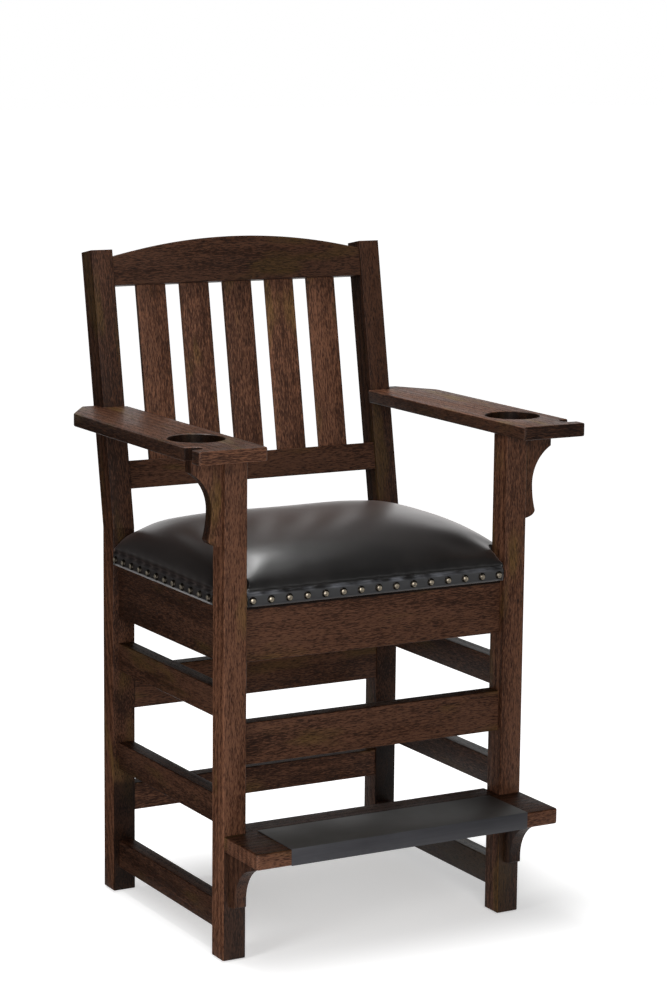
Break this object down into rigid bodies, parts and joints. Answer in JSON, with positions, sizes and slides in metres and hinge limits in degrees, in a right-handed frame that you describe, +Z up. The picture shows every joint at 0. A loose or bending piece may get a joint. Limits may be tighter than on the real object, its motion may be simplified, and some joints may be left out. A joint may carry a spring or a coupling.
{
  "type": "billiard spectator chair",
  "caption": "Tall wooden spectator armchair with slatted raked back, crowned leather seat, broad arms with cup recesses and cue notches, hidden front drawer and plated footrest.",
  "frame": {"origin": "on the floor, under the middle of the overall box", "axes": "+Z up, the chair faces -Y, left is -X as seen from the front"},
  "size_m": [0.774, 0.7084, 1.2189],
  "materials": {
    "stained_wood": "open-grain dark brown stain with a satin lacquer",
    "pale_wood": "unfinished hardwood inside",
    "plywood": "unfinished plywood",
    "black_leather": "smooth black leather, soft sheen",
    "charcoal_plate": "matt charcoal",
    "nylon": "matt black"
  },
  "bodies": {
    "chair_frame": {"arm_corbel_left": "stained_wood", "arm_corbel_right": "stained_wood", "arm_left": "stained_wood", "arm_right": "stained_wood", "back_slat_1": "stained_wood", "back_slat_2": "stained_wood", "back_slat_3": "stained_wood", "back_slat_4": "stained_wood", "back_slat_5": "stained_wood", "crest_rail": "stained_wood", "drawer_guide_left": "pale_wood", "drawer_guide_right": "pale_wood", "drawer_kicker_left": "pale_wood", "drawer_kicker_right": "pale_wood", "drawer_runner_left": "pale_wood", "drawer_runner_right": "pale_wood", "foot_glide_front_left": "nylon", "foot_glide_front_right": "nylon", "foot_glide_rear_left": "nylon", "foot_glide_rear_right": "nylon", "footrest_board": "stained_wood", "footrest_bracket_left": "stained_wood", "footrest_bracket_right": "stained_wood", "footrest_plate": "charcoal_plate", "front_leg_left": "stained_wood", "front_leg_right": "stained_wood", "front_stretcher": "stained_wood", "lower_back_rail": "stained_wood", "rear_apron": "stained_wood", "rear_lower_stretcher": "stained_wood", "rear_post_left": "stained_wood", "rear_post_right": "stained_wood", "rear_upper_stretcher": "stained_wood", "seat_board": "plywood", "seat_cushion": "black_leather", "side_apron_left": "stained_wood", "side_apron_right": "stained_wood", "side_stretcher_low_left": "stained_wood", "side_stretcher_low_right": "stained_wood", "side_stretcher_middle_left": "stained_wood", "side_stretcher_middle_right": "stained_wood", "side_stretcher_upper_left": "stained_wood", "side_stretcher_upper_right": "stained_wood"},
    "drawer": {"drawer_front": "stained_wood", "drawer_side_left": "pale_wood", "drawer_side_right": "pale_wood", "drawer_back": "pale_wood", "drawer_bottom": "plywood"}
  },
  "joints": [
    {"name": "drawer_slide", "type": "slide", "parent": "chair_frame", "child": "drawer", "axis": [0, -1, 0], "range_m": [0, 0.25]}
  ]
}
